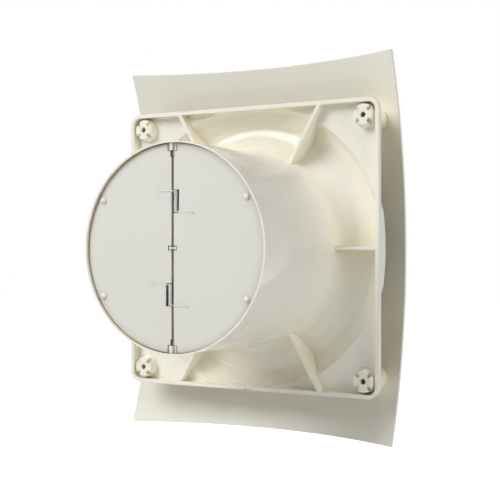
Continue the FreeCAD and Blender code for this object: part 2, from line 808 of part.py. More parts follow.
def flap(side, node):
    """A half-round flap, flat behind, with its hinge barrel in front, open at the clip and at its spring."""
    axis = size.hinge_offset
    disc = rod(node + "_disc", flap_radius, (0, flap_front, 0), size.flap_thickness)
    low, high = sided(side, axis - size.hinge_lid, size.duct_radius)
    half = box(node + "_half", (low, flap_front, -size.duct_radius), (high, flap_rear, size.duct_radius))
    tube = rod(node + "_tube", size.barrel_radius, (axis * side, hinge_level, -barrel_half),
               barrel_half * 2, 0, UPRIGHT)
    low, high = sided(side, 0, axis * 2)
    front = hinge_level - size.barrel_radius - size.overrun
    flat = box(node + "_flat", (low, front, -size.duct_radius), (high, flap_rear, size.duct_radius))
    barrel = common(node + "_barrel", [tube, flat])
    bore = size.pin_radius + size.running_clearance
    bore_start = (axis * side, hinge_level, -size.duct_radius)
    cuts = [rod(node + "_bore", bore, bore_start, size.duct_radius * 2, 0, UPRIGHT)]
    top = flap_rear + size.overrun
    clip_half = size.clip_width / 2 + size.hinge_end_gap
    low, high = sided(side, 0, axis + size.clip_radius + size.hinge_end_gap)
    cuts.append(box(node + "_clip_notch", (low, front, -clip_half), (high, top, clip_half)))
    boss_low, boss_high = sided(side, 0, size.hinge_boss_half + size.hinge_side_gap)
    low, high = sided(side, axis - bore, axis + bore)
    for end in (1, -1):
        bottom, ceiling = sided(end, barrel_half, size.duct_radius)
        cuts.append(box("%s_channel_%d" % (node, end), (low, front, bottom), (high, hinge_level, ceiling)))
        bottom, ceiling = sided(end, boss_inner - size.hinge_end_gap, size.duct_radius)
        cuts.append(box("%s_end_%d" % (node, end), (boss_low, front, bottom), (boss_high, top, ceiling)))
    coil_reach = size.coil_radius + size.wire_radius + size.spring_window_past
    low, high = sided(side, 0, axis + coil_reach)
    middle = -size.coil_middle * side
    cuts.append(box(node + "_window", (low, front, middle - window_half), (high, top, middle + window_half)))
    whole = fuse(node + "_whole", [common(node + "_plate", [disc, half]), barrel])
    return finish(cut(node, whole, cuts), node)


def flap_pin(side, node):
    spot = (size.hinge_offset * side, hinge_level, -pin_half)
    return finish(rod(node, size.pin_radius, spot, pin_half * 2, 0, UPRIGHT), node)


def hinge_pin_clip():
    """Two eyes on the pins, joined by a bar."""
    adds = []
    holes = []
    for side in (1, -1):
        spot = (size.hinge_offset * side, hinge_level, -size.clip_width / 2)
        adds.append(rod("clip_eye_%d" % side, size.clip_radius, spot, size.clip_width, 0, UPRIGHT))
        hole_spot = (spot[0], spot[1], -size.clip_width)
        hole = size.pin_radius + size.fit_clearance
        holes.append(rod("clip_hole_%d" % side, hole, hole_spot, size.clip_width * 2, 0, UPRIGHT))
    bar = size.clip_width * CLIP_BAR_SHARE / 2
    adds.append(box(
        "clip_bar",
        (-size.hinge_offset, hinge_level, -bar),
        (size.hinge_offset, hinge_level + size.clip_radius, bar),
    ))
    return finish(cut("hinge_pin_clip", fuse("clip_whole", adds), holes), "hinge_pin_clip")


def flap_bumpers(node, turns):
    """Two domes on a flap, near its edge."""
    domes = []
    for turn in turns:
        dome = doc.addObject("Part::Sphere", "%s_%d" % (node, turn))
        bind(dome, "Radius", size.bumper_radius)
        dome.Angle1 = 0
        dome.Angle2 = FULL_TURN / 4
        domes.append(place(dome, (flap_radius - size.bumper_inset, flap_rear, 0), turn, ALONG_Y))
    return finish(group(node, domes), node)


def biarc(start, heading, end, ending):
    """Two arcs that leave start along heading and reach end along ending, as edges."""
    span = end - start
    both = heading + ending
    square = both.dot(both) - 4
    line = -2 * span.dot(both)
    reach = (-line - math.sqrt(line * line - 4 * square * span.dot(span))) / (2 * square)
    first = start + heading * reach
    last = end - ending * reach
    middle = (first + last) / 2
    return [arc_by_corner(start, first, middle), arc_by_corner(middle, last, end)]


def arc_by_corner(start, corner, end):
    """The arc that touches start-corner at start and corner-end at end."""
    half = (start + end) / 2
    side = (start - corner).Length
    chord = (end - start).Length / 2
    depth = (half - corner).Length
    radius = side * chord / depth
    centre = corner + (half - corner) * (side * side / (depth * depth))
    return Part.Arc(start, centre + (corner - centre).normalize() * radius, end).toShape()


def spring_path():
    """The edges of the upper spring's wire: foot, long leg, coil, short leg, foot."""
    radius = size.coil_radius.value
    pitch = size.coil_pitch.value
    low = (size.coil_middle - coil_half).value
    axis = V(-size.hinge_offset.value, hinge_level.value, 0)
    leg_level = (flap_rear + size.wire_radius + size.leg_lift).value

    def coil_point(turns):
        angle = math.pi / 2 - 2 * math.pi * turns
        return axis + V(radius * math.cos(angle), radius * math.sin(angle), low + pitch * turns)

    def coil_heading(turns):
        angle = math.pi / 2 - 2 * math.pi * turns
        return V(math.sin(angle), -math.cos(angle), pitch / (2 * math.pi * radius)).normalize()

    def foot(tip, along, sense):
        """A small bend at a leg's end, with the straight foot after it."""
        bend = size.foot_bend.value
        corner = tip + along * bend
        turned_to = corner + V(0, 0, sense * bend)
        end = turned_to + V(0, 0, sense * bend)
        return turned_to, end, corner

    start_point = coil_point(0)
    end_point = coil_point(SPRING_TURNS)
    long_tip = V(-size.long_leg.value + size.foot_bend.value, leg_level, start_point.z)
    short_tip = V(size.short_leg.value - size.foot_bend.value, leg_level, end_point.z)
    into = (start_point - long_tip).normalize()
    out = (short_tip - end_point).normalize()
    edges = []
    turned_to, end, corner = foot(long_tip, -into, -1)
    edges.append(Part.LineSegment(end, turned_to).toShape())
    edges.append(arc_by_corner(turned_to, corner, long_tip))
    edges.append(Part.LineSegment(long_tip, start_point).toShape())
    steps = SPRING_TURNS * ARC_PAIRS_PER_TURN
    for step in range(steps):
        turns = step / ARC_PAIRS_PER_TURN
        next_turns = (step + 1) / ARC_PAIRS_PER_TURN
        heading = into if step == 0 else coil_heading(turns)
        ending = out if step == steps - 1 else coil_heading(next_turns)
        edges.extend(biarc(coil_point(turns), heading, coil_point(next_turns), ending))
    turned_to, end, corner = foot(short_tip, out, 1)
    edges.append(Part.LineSegment(end_point, short_tip).toShape())
    edges.append(arc_by_corner(short_tip, corner, turned_to))
    edges.append(Part.LineSegment(turned_to, end).toShape())
    return edges


def least_gap(edges, wire):
    """The smallest space between stretches of a wire that lie more than half a turn apart along it."""
    points = []
    travel = []
    done = 0.0
    for edge in edges:
        for step in range(GAP_STATIONS):
            along = edge.Length * step / GAP_STATIONS
            points.append(edge.valueAt(edge.getParameterByLength(along)))
            travel.append(done + along)
        done += edge.Length
    apart = math.pi * size.coil_radius.value
    best = done
    for i, point in enumerate(points):
        for j in range(i):
            if travel[i] - travel[j] > apart:
                best = min(best, (point - points[j]).Length)
    return best - 2 * wire


def spring(node, half_turns):
    """A torsion spring as one tube; the lower one is the upper one turned half round the duct axis."""
    edges = spring_path()
    wire = size.wire_radius.value
    path = Part.Wire(edges)
    start = edges[0].valueAt(edges[0].FirstParameter)
    heading = edges[0].tangentAt(edges[0].FirstParameter)
    section = Part.Wire(Part.Circle(start, heading, wire).toShape())
    shell = Part.BRepOffsetAPI.MakePipeShell(path)
    shell.add(section)
    shell.build()
    shell.makeSolid()
    coil = doc.addObject("Part::Feature", node)
    coil.Shape = shell.shape()
    swing = FreeCAD.Rotation(V(0, 1, 0), half_turns * FULL_TURN / 2)
    coil.Placement = FreeCAD.Placement(V(0, 0, 0), swing)
    print(node, "least gap %.3f" % least_gap(edges, wire),
          "volume share %.4f" % (coil.Shape.Volume / (math.pi * wire * wire * path.Length)))
    return finish(coil, node)


# Motor on its three-armed bracket
motor_screw_circle = size.motor_radius - size.cover_wall - size.bolt_radius - size.screw_clearance * 2
bolt_hole = size.bolt_radius + size.screw_clearance
bearing_boss = size.bush_radius + size.bearing_boss_wall
bush_seat = size.bush_radius + size.fit_clearance


def bolt_holes(name, start, length):
    spots = (motor_screw_circle, start, 0)
    return [rod("%s_%d" % (name, turn), bolt_hole, spots, length, turn) for turn in MOTOR_SCREW_TURNS]


def motor_bracket():
    """A hub plate and three arms that end on the bell's bosses, with an eye for the motor lead."""
    adds = [ring("hub_plate", bearing_boss, size.hub_plate_radius, arm_front, boss_front)]
    hole_start = arm_front - size.overrun
    hole_length = size.arm_thickness + size.overrun * 2
    cuts = bolt_holes("hub_hole", hole_start, hole_length)
    half = size.arm_width / 2
    for turn in ARM_TURNS:
        low = (size.hub_plate_radius - size.cover_wall, arm_front, -half)
        adds.append(box("arm_%d" % turn, low, (boss_circle_radius, boss_front, half), turn))
        foot = (boss_circle_radius, arm_front, 0)
        adds.append(rod("arm_foot_%d" % turn, size.boss_radius, foot, size.arm_thickness, turn))
        hole = (boss_circle_radius, hole_start, 0)
        radius = size.screw_core_radius + size.screw_clearance
        cuts.append(rod("foot_hole_%d" % turn, radius, hole, hole_length, turn))
    eye_start = (size.hub_plate_radius + boss_circle_radius) / 2
    eye_reach = lead_side + size.lead_radius + size.lead_eye_wall
    eye_end = eye_start + size.lead_eye_width
    adds.append(box("lead_eye", (eye_start, arm_front, 0), (eye_end, boss_front, eye_reach), WIRING_TURN))
    groove = size.lead_radius + size.running_clearance
    slot_start = size.lead_start_radius - size.lead_radius - size.screw_clearance
    slot = size.lead_radius + size.screw_clearance
    cuts.append(rod("lead_groove", groove, (eye_start - size.overrun, arm_middle, lead_side),
                    size.lead_eye_width + size.overrun * 2, WIRING_TURN, ALONG_X))
    cuts.append(box("lead_slot", (slot_start, hole_start, lead_side - slot),
                    (size.hub_plate_radius, boss_front + size.overrun, lead_side + slot), WIRING_TURN))
    return finish(cut("motor_bracket", fuse("bracket_whole", adds), cuts), "motor_bracket")


def screw(name, radius, spot, length, turn, sense=1):
    """A screw along Y: its head's seat at the spot, its shank along the sense, a slot across the head."""
    x, seat, z = spot
    head_height = size.screw_head_height
    shank_start = seat - size.screw_slot_depth if sense > 0 else seat - length
    head_start = seat - head_height if sense > 0 else seat
    slot_low = head_start if sense > 0 else head_start + head_height - size.screw_slot_depth
    head = rod(name + "_head", size.screw_head_radius, (x, head_start, z), head_height, turn)
    shank = rod(name + "_shank", radius, (x, shank_start, z), length + size.screw_slot_depth, turn)
    half = size.screw_slot_width / 2
    reach = size.screw_head_radius
    slot_high = slot_low + size.screw_slot_depth
    slot = box(name + "_slot", (x - reach, slot_low, z - half), (x + reach, slot_high, z + half), turn)
    return cut(name, fuse(name + "_whole", [head, shank]), [slot])


def bracket_screws():
    length = size.arm_thickness + size.screw_bite
    spot = (boss_circle_radius, arm_front, as_size(0))
    return finish(group("bracket_screws", [
        screw("bracket_screw_%d" % turn, size.screw_core_radius, spot, length, turn) for turn in ARM_TURNS
    ]), "bracket_screws")


def motor_cover(node, outer_level, stack_level, bush_level):
    """An end cover: a cup with a bearing boss, from its outer face to the stack."""
    inside = size.motor_radius - size.cover_wall
    toward = 1 if stack_level.value > outer_level.value else -1
    web = outer_level + size.cover_wall * toward
    body = turned(node + "_turned", (
        (bush_seat, outer_level),
        (size.motor_radius, outer_level),
        (size.motor_radius, stack_level),
        (inside, stack_level),
        (inside, web),
        (bearing_boss, web),
        (bearing_boss, bush_level),
        (bush_seat, bush_level),
    ))
    start = outer_level - size.overrun if toward > 0 else web - size.overrun
    length = size.cover_wall + size.overrun * 2
    cuts = bolt_holes(node + "_hole", start, length)
    if toward > 0:
        spot = (size.lead_start_radius, start, lead_side)
        cuts.append(rod(node + "_lead_hole", size.lead_exit_radius, spot, length, WIRING_TURN))
    return finish(cut(node, body, cuts), node)


def stator_core():
    """A laminated ring with four poles that face the rotor."""
    ring_inner = size.motor_radius - size.stator_ring
    adds = [ring("stator_yoke", ring_inner, size.motor_radius, stack_front, stack_rear)]
    half = size.pole_width / 2
    for turn in POLE_TURNS:
        low = (size.rotor_radius - size.air_gap, stack_front, -half)
        high = (size.motor_radius - size.stator_ring / 2, stack_rear, half)
        adds.append(box("pole_%d" % turn, low, high, turn))
    bore = rod("stator_bore", size.rotor_radius + size.air_gap, (0, stack_front - size.overrun, 0),
               size.stack_length + size.overrun * 2)
    holes = bolt_holes("stator_hole", stack_front - size.overrun, size.stack_length + size.overrun * 2)
    return finish(cut("stator_core", fuse("stator_whole", adds), [bore] + holes), "stator_core")


def pole_sleeves(node, play, wall):
    """A rectangular sleeve on each pole: its inside is clear of the pole by play, its wall goes round it."""
    start = size.rotor_radius + size.air_gap + size.pole_tip
    end = start + size.winding_height
    inner = size.pole_width / 2 + play
    outer = inner + wall
    sleeves = []
    for turn in POLE_TURNS:
        block = box("%s_block_%d" % (node, turn), (start, stack_front - play - wall, -outer),
                    (end, stack_rear + play + wall, outer), turn)
        window = box("%s_window_%d" % (node, turn), (start - size.overrun, stack_front - play, -inner),
                     (end + size.overrun, stack_rear + play, inner), turn)
        sleeves.append(cut("%s_%d" % (node, turn), block, [window]))
    return finish(group(node, sleeves), node)


front_bush_end = motor_front + size.bush_length
rear_bush_end = motor_rear - size.bush_length
rotor_front = front_bush_end + size.washer_thickness + size.sliding_clearance * 2
rotor_rear = rear_bush_end - size.washer_thickness - size.sliding_clearance * 2
shaft_seat = size.shaft_radius + size.fit_clearance


def rotor_core():
    """The caged rotor: a stack between two end rings."""
    end_ring = size.rotor_radius * END_RING_SHARE
    return finish(turned("rotor_core", (
        (shaft_seat, rotor_front),
        (end_ring, rotor_front),
        (end_ring, stack_front),
        (size.rotor_radius, stack_front),
        (size.rotor_radius, stack_rear),
        (end_ring, stack_rear),
        (end_ring, rotor_rear),
        (shaft_seat, rotor_rear),
    )), "rotor_core")


def motor_shaft():
    start = motor_front - size.shaft_front_reach
    return finish(rod("motor_shaft", size.shaft_radius, (0, start, 0), shaft_rear - start), "motor_shaft")


def thrust_washers():
    hole = size.shaft_radius + size.running_clearance
    play = size.sliding_clearance
    washers = [
        ring("front_washer", hole, size.washer_radius, front_bush_end + play, rotor_front - play),
        ring("rear_washer", hole, size.washer_radius, rotor_rear + play, rear_bush_end - play),
    ]
    return finish(group("thrust_washers", washers), "thrust_washers")


def motor_screws():
    length = motor_rear + size.nut_height + size.cover_wall - arm_front
    spot = (motor_screw_circle, arm_front, as_size(0))
    return finish(group("motor_screws", [
        screw("motor_screw_%d" % turn, size.bolt_radius, spot, length, turn) for turn in MOTOR_SCREW_TURNS
    ]), "motor_screws")


def motor_nuts():
    """Hexagon nuts behind the rear cover."""
    nuts = []
    for turn in MOTOR_SCREW_TURNS:
        prism = doc.addObject("Part::Prism", "nut_prism_%d" % turn)
        prism.Polygon = NUT_SIDES
        bind(prism, "Circumradius", size.nut_radius)
        bind(prism, "Height", size.nut_height)
        place(prism, (motor_screw_circle, motor_rear, 0), turn, ALONG_Y)
        start = (motor_screw_circle, motor_rear - size.overrun, 0)
        length = size.nut_height + size.overrun * 2
        hole = rod("nut_hole_%d" % turn, size.bolt_radius + size.fit_clearance, start, length, turn)
        nuts.append(cut("nut_%d" % turn, prism, [hole]))
    return finish(group("motor_nuts", nuts), "motor_nuts")


# Impeller
def blade_section(reach, pitch):
    """A cambered section across a blade at a distance from the axis, as a closed wire."""
    depth = size.impeller_depth.value * BLADE_DEPTH_SHARE
    chord = depth / math.sin(math.radians(pitch))
    along = V(0, math.sin(math.radians(pitch)), math.cos(math.radians(pitch)))
    across = V(0, math.cos(math.radians(pitch)), -math.sin(math.radians(pitch)))
    middle = V(reach, (impeller_front.value + impeller_rear.value) / 2, 0)
    half = size.blade_thickness.value / 2
    camber = size.blade_camber.value
    lead = middle - along * (chord / 2) - across * (camber / 2)
    trail = middle + along * (chord / 2) - across * (camber / 2)
    crest = middle + across * (camber / 2)
    top = Part.Arc(lead + across * half, crest + across * half, trail + across * half).toShape()
    back = Part.LineSegment(trail + across * half, trail - across * half).toShape()
    bottom = Part.Arc(trail - across * half, crest - across * half, lead - across * half).toShape()
    front = Part.LineSegment(lead - across * half, lead + across * half).toShape()
    return Part.Wire([top, back, bottom, front])


def impeller():
    """A hub cup on the shaft with twisted blades trimmed to the bore."""
    hub = size.impeller_hub_radius
    web = impeller_rear - size.impeller_wall
    cup = turned("impeller_hub", (
        (shaft_seat, impeller_front),
        (size.impeller_boss_radius, impeller_front),
        (size.impeller_boss_radius, web),
        (hub - size.impeller_wall, web),
        (hub - size.impeller_wall, impeller_front),
        (hub, impeller_front),
        (hub, impeller_rear),
        (shaft_seat, impeller_rear),
    ))
    tip_radius = bore_radius - size.tip_clearance
    root_reach = hub.value * BLADE_ROOT_SHARE
    reaches = [root_reach + (tip_radius.value - root_reach) * share for share in BLADE_STATION_SHARES]
    twist = BLADE_TIP_PITCH - BLADE_ROOT_PITCH
    pitches = [BLADE_ROOT_PITCH + twist * share for share in BLADE_STATION_SHARES]
    sections = [blade_section(reach, pitch) for reach, pitch in zip(reaches, pitches)]
    loft = Part.makeLoft(sections, True)
    start = V(0, impeller_front.value, 0)
    depth = size.impeller_depth.value
    outside = Part.makeCylinder(tip_radius.value, depth, start, V(0, 1, 0))
    inside = Part.makeCylinder((hub - size.impeller_wall / 2).value, depth, start, V(0, 1, 0))
    trimmed = loft.common(outside).cut(inside)
    pieces = [cup]
    for number in range(BLADE_COUNT):
        blade = doc.addObject("Part::Feature", "blade_%d" % number)
        blade.Shape = trimmed
        swing = FreeCAD.Rotation(V(0, 1, 0), FULL_TURN * number / BLADE_COUNT)
        blade.Placement = FreeCAD.Placement(V(0, 0, 0), swing)
        pieces.append(blade)
    return finish(fuse("impeller", pieces, False), "impeller")


def impeller_clip():
    end = impeller_rear + size.shaft_clip_thickness
    clip = ring("impeller_clip", shaft_seat, size.shaft_clip_radius, impeller_rear, end)
    return finish(clip, "impeller_clip")


# Wiring in the recess
def wiring_block(name, length, width, side, low, high, turn):
    """A block of a length along the recess, its middle at the wiring radius and a distance to one side."""
    return box(name, (wiring_radius - width / 2, low, side - length / 2),
               (wiring_radius + width / 2, high, side + length / 2), turn)


def terminal_spots():
    """The places of the three terminals along the block."""
    first = lead_side - size.terminal_length / 2 + size.terminal_pitch * TERMINAL_START_SHARE
    return [first + size.terminal_pitch * number for number in range(TERMINAL_COUNT)]


def block_screw_side():
    return lead_side + size.terminal_length / 2 - size.screw_head_radius - size.bobbin_wall


def clamp_screw_sides():
    reach = size.clamp_length / 2 - size.screw_head_radius - size.bobbin_wall
    return (reach, -reach)


def wiring_screw_spots():
    """The place across and along of each screw that fastens the wiring to its pads, with its turn."""
    spots = [((wiring_radius, block_screw_side()), WIRING_TURN)]
    spots.extend(((wiring_radius, side), CLAMP_TURN) for side in clamp_screw_sides())
    return spots


def terminal_block():
    block = wiring_block("terminal_body", size.terminal_length, size.terminal_width, lead_side,
                         pad_level, pad_level + size.terminal_height, WIRING_TURN)
    cuts = []
    sink = size.terminal_screw_sink + size.terminal_screw_depth
    level = pad_level + size.terminal_height
    hole = size.terminal_screw_radius + size.fit_clearance
    for number, side in enumerate(terminal_spots()):
        spot = (wiring_radius, level - sink, side)
        cuts.append(rod("terminal_sink_%d" % number, hole, spot, sink + size.overrun, WIRING_TURN))
        entry = (wiring_radius, pad_level + size.terminal_height - sink, side)
        cuts.append(rod("terminal_entry_%d" % number, size.terminal_screw_radius * ENTRY_SHARE, entry,
                        size.terminal_width, WIRING_TURN, ALONG_X))
    radius = size.screw_core_radius + size.screw_clearance
    spot = (wiring_radius, pad_level - size.overrun, block_screw_side())
    cuts.append(rod("block_screw_hole", radius, spot, size.terminal_height + size.overrun * 2, WIRING_TURN))
    return finish(cut("terminal_block", block, cuts), "terminal_block")


def terminal_screws():
    """Slotted screws sunk in the block."""
    screws = []
    level = pad_level + size.terminal_height - size.terminal_screw_sink
    half = size.screw_slot_width / 2
    reach = size.terminal_screw_radius
    for number, side in enumerate(terminal_spots()):
        spot = (wiring_radius, level - size.terminal_screw_depth, side)
        shank = rod("terminal_shank_%d" % number, reach, spot, size.terminal_screw_depth, WIRING_TURN)
        slot_low = (wiring_radius - reach, level - size.screw_slot_depth, side - half)
        slot_high = (wiring_radius + reach, level, side + half)
        slot = box("terminal_slot_%d" % number, slot_low, slot_high, WIRING_TURN)
        screws.append(cut("terminal_screw_%d" % number, shank, [slot]))
    return finish(group("terminal_screws", screws), "terminal_screws")


def terminal_block_screw():
    spot = (wiring_radius, pad_level + size.terminal_height, block_screw_side())
    length = size.terminal_height + size.wiring_bite
    return finish(screw("terminal_block_screw", size.screw_core_radius, spot, length, WIRING_TURN, -1),
                  "terminal_block_screw")


def cable_clamp():
    """A saddle over the house cable, open between its feet."""
    bar = wiring_block("clamp_bar", size.clamp_length, size.clamp_width, as_size(0),
                       pad_level, pad_level + size.clamp_height, CLAMP_TURN)
    reach = wiring_radius - size.clamp_width
    cuts = [rod("cable_groove", size.cable_groove_radius, (reach, pad_level, 0), size.clamp_width * 2,
                CLAMP_TURN, ALONG_X)]
    radius = size.screw_core_radius + size.screw_clearance
    length = size.clamp_height + size.overrun * 2
    for number, side in enumerate(clamp_screw_sides()):
        spot = (wiring_radius, pad_level - size.overrun, side)
        cuts.append(rod("clamp_hole_%d" % number, radius, spot, length, CLAMP_TURN))
    return finish(cut("cable_clamp", bar, cuts), "cable_clamp")


def clamp_screws():
    length = size.clamp_height + size.wiring_bite
    level = pad_level + size.clamp_height
    screws = []
    for number, side in enumerate(clamp_screw_sides()):
        spot = (wiring_radius, level, side)
        screws.append(screw("clamp_screw_%d" % number, size.screw_core_radius, spot, length, CLAMP_TURN, -1))
    return finish(group("clamp_screws", screws), "clamp_screws")


def wire_grommet():
    """A flanged sleeve in the bell's floor, its bore just clear of the lead."""
    start = bell_front - size.grommet_flange_height
    spot = (lead_reach, start, lead_side)
    height = pad_level - start
    sleeve = rod("grommet_sleeve", grommet_radius, spot, height, WIRING_TURN)
    flange = rod("grommet_rim", flange_radius, spot, size.grommet_flange_height, WIRING_TURN)
    bore = size.lead_radius + size.fit_clearance
    bore_spot = (lead_reach, start - size.overrun, lead_side)
    hole = rod("grommet_bore", bore, bore_spot, height + size.overrun * 2, WIRING_TURN)
    return finish(cut("wire_grommet", fuse("grommet_whole", [sleeve, flange]), [hole]), "wire_grommet")


def motor_lead():
    """The lead from the motor's front cover along an arm and back through the bell's floor."""
    side = lead_side.value
    bend = size.lead_bend.value
    near = size.lead_start_radius.value
    far = lead_reach.value
    level = arm_middle.value
    inside = (motor_front + size.cover_wall * 2).value
    start = V(near, inside, side)
    first = V(near, level, side)
    second = V(far, level, side)
    end = V(far, pad_level.value, side)
    along = V(1, 0, 0) * bend
    back = V(0, 1, 0) * bend
    edges = [
        Part.LineSegment(start, first + back).toShape(),
        arc_by_corner(first + back, first, first + along),
        Part.LineSegment(first + along, second - along).toShape(),
        arc_by_corner(second - along, second, second + back),
        Part.LineSegment(second + back, end).toShape(),
    ]
    path = Part.Wire(edges)
    section = Part.Wire(Part.Circle(start, V(0, -1, 0), size.lead_radius.value).toShape())
    shell = Part.BRepOffsetAPI.MakePipeShell(path)
    shell.add(section)
    shell.build()
    shell.makeSolid()
    lead = doc.addObject("Part::Feature", "motor_lead")
    lead.Shape = shell.shape()
    lead.Placement = FreeCAD.Placement(V(0, 0, 0), FreeCAD.Rotation(V(0, 1, 0), WIRING_TURN))
    area = math.pi * size.lead_radius.value * size.lead_radius.value
    print("motor_lead volume share %.4f" % (lead.Shape.Volume / (area * path.Length)))
    return finish(lead, "motor_lead")


def build():
    """Makes every piece of the fan."""
    housing()
    front_panel()
    valve_ring()
    flap(1, "flap_right")
    flap(-1, "flap_left")
    flap_pin(1, "flap_pin_right")
    flap_pin(-1, "flap_pin_left")
    hinge_pin_clip()
    flap_bumpers("flap_bumpers_right", RIGHT_BUMPER_TURNS)
    flap_bumpers("flap_bumpers_left", LEFT_BUMPER_TURNS)
    spring("flap_spring_upper", 0)
    spring("flap_spring_lower", 1)
    motor_bracket()
    bracket_screws()
    motor_cover("motor_front_cover", motor_front, stack_front, front_bush_end)
    motor_cover("motor_rear_cover", motor_rear, stack_rear, rear_bush_end)
    stator_core()
    pole_sleeves("coil_bobbins", size.fit_clearance, size.bobbin_wall)
    pole_sleeves("stator_coils", size.fit_clearance * 2 + size.bobbin_wall, size.winding_thickness)
    rotor_core()
    motor_shaft()
    bore = size.shaft_radius + size.running_clearance
    finish(ring("front_bush", bore, size.bush_radius, motor_front, front_bush_end), "front_bush")
    finish(ring("rear_bush", bore, size.bush_radius, rear_bush_end, motor_rear), "rear_bush")
    thrust_washers()
    motor_screws()
    motor_nuts()
    impeller()
    impeller_clip()
    terminal_block()
    terminal_screws()
    terminal_block_screw()
    cable_clamp()
    clamp_screws()
    wire_grommet()
    motor_lead()


def write():
    """Checks every object, then writes each node's solids."""
    doc.recompute()
    failed = [obj.Label for obj in doc.Objects if "Invalid" in obj.State or "Error" in obj.State]
    for obj in NODES:
        if obj.Shape.isNull() or not obj.Shape.isValid() or not obj.Shape.Solids:
            failed.append(obj.Label)
    if failed:
        raise RuntimeError("failed: " + ", ".join(failed))
    os.makedirs("parts", exist_ok=True)
    for obj in NODES:
        obj.Shape.exportStep(os.path.join("parts", obj.Label + ".step"))
        print(obj.Label, len(obj.Shape.Solids), "%.1f" % obj.Shape.Volume)


build()
write()
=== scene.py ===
import json
import math

import bmesh
import bpy
from mathutils import Matrix, Vector


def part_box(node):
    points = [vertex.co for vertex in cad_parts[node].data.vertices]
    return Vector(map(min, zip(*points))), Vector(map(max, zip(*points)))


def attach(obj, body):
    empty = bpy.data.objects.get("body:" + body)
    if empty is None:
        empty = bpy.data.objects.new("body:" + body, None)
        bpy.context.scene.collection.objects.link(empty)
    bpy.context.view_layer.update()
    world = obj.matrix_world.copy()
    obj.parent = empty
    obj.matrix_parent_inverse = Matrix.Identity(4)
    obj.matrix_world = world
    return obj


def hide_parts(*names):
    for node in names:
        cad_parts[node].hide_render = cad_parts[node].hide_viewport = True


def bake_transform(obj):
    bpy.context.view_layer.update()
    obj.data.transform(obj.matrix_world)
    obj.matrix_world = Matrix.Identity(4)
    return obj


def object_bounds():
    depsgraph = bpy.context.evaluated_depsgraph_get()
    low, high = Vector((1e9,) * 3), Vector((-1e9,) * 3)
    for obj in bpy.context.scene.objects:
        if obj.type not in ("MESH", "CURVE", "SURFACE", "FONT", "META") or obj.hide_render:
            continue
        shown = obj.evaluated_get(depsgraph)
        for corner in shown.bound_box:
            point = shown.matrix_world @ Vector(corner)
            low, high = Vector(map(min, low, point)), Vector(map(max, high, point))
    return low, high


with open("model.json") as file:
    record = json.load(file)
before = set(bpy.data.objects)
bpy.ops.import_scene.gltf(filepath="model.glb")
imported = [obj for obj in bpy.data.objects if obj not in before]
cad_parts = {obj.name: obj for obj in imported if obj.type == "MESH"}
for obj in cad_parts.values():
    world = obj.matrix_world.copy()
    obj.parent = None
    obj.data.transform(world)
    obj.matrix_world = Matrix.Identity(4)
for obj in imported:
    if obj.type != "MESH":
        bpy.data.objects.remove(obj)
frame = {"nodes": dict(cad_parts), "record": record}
cad_box = [list(corner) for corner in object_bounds()]
nodes = frame["nodes"]

# An axial exhaust fan seen from behind: glossy ivory mouldings, matte flaps, fine steel hinge parts.
# Lengths are in metres from the duct axis, with +Y into the duct and +Z up.

# Colours, as linear light
IVORY = (0.935, 0.915, 0.83, 1.0)
IVORY_DEEP = (0.925, 0.903, 0.815, 1.0)
FLAP_WHITE = (0.80, 0.797, 0.733, 1.0)
FLAP_SHADE = (0.78, 0.775, 0.708, 1.0)
ZINC = (0.62, 0.63, 0.65, 1.0)
ZINC_DARK = (0.40, 0.41, 0.43, 1.0)
# Painted shade: the hinge pins are dark brown, standing for the shade of the slit they lie in
PIN_SLIT_SHADE = (0.20, 0.16, 0.11, 1.0)
PIN_SLIT_SHADE_DARK = (0.12, 0.095, 0.06, 1.0)
SPRING_STEEL = (0.66, 0.68, 0.71, 1.0)
SPRING_STEEL_DARK = (0.58, 0.60, 0.63, 1.0)
DOME_BLUE = (0.91, 0.93, 0.97, 1.0)
DOME_PALE = (0.93, 0.95, 0.97, 1.0)
SHEET_METAL = (0.66, 0.67, 0.68, 1.0)
SHEET_METAL_DARK = (0.50, 0.51, 0.52, 1.0)
LAMINATION = (0.25, 0.25, 0.27, 1.0)
LAMINATION_DARK = (0.10, 0.10, 0.11, 1.0)
COPPER = (0.62, 0.26, 0.11, 1.0)
COPPER_DARK = (0.40, 0.14, 0.05, 1.0)
BRONZE = (0.52, 0.36, 0.17, 1.0)
BRONZE_DARK = (0.33, 0.21, 0.09, 1.0)
BRASS = (0.72, 0.55, 0.24, 1.0)
BRASS_DARK = (0.52, 0.37, 0.14, 1.0)
NYLON = (0.74, 0.72, 0.64, 1.0)
NYLON_DEEP = (0.68, 0.655, 0.57, 1.0)
RUBBER = (0.022, 0.022, 0.024, 1.0)
RUBBER_GREY = (0.045, 0.045, 0.047, 1.0)
SHEATH = (0.70, 0.70, 0.68, 1.0)
SHEATH_GREY = (0.60, 0.60, 0.58, 1.0)
FLOOR_WHITE = (0.90, 0.90, 0.89, 1.0)
FLOOR_GREY = (0.86, 0.86, 0.85, 1.0)
WHITE = (1.0, 1.0, 1.0, 1.0)

# Surface detail
MASK_MIDDLE = 0.5
FINE_DETAIL = 4.0
CLOUD_DETAIL = 2.0
CLOUD_SCALE = 40.0
FLAP_CLOUD_SCALE = 60.0
FLOOR_CLOUD_SCALE = 2.0
SKIN_SCALE = 1800.0
FLAP_SKIN_SCALE = 2600.0
FLOOR_SKIN_SCALE = 300.0
STREAK_SCALE = 900.0
LAMINATION_SCALE = 2000.0
SINTER_SCALE = 3000.0
STREAK_STRETCH_SHARES = (1.0, 1.0, 0.08)
FULLY_OPEN = 1.0
CREVICE_SHADE_SAMPLES = 6
EDGE_SAMPLES = 4
MOULDED_EDGE = 0.0005
SMALL_EDGE = 0.00012
BUMP_DISTANCE = 0.0002
SMOOTH = 0.0
PLASTIC_INDEX = 1.5
PLASTIC_SHINE = 0.4
DOME_INDEX = 1.45
DOME_CLEARNESS = 0.1
FULL_METAL = 1.0
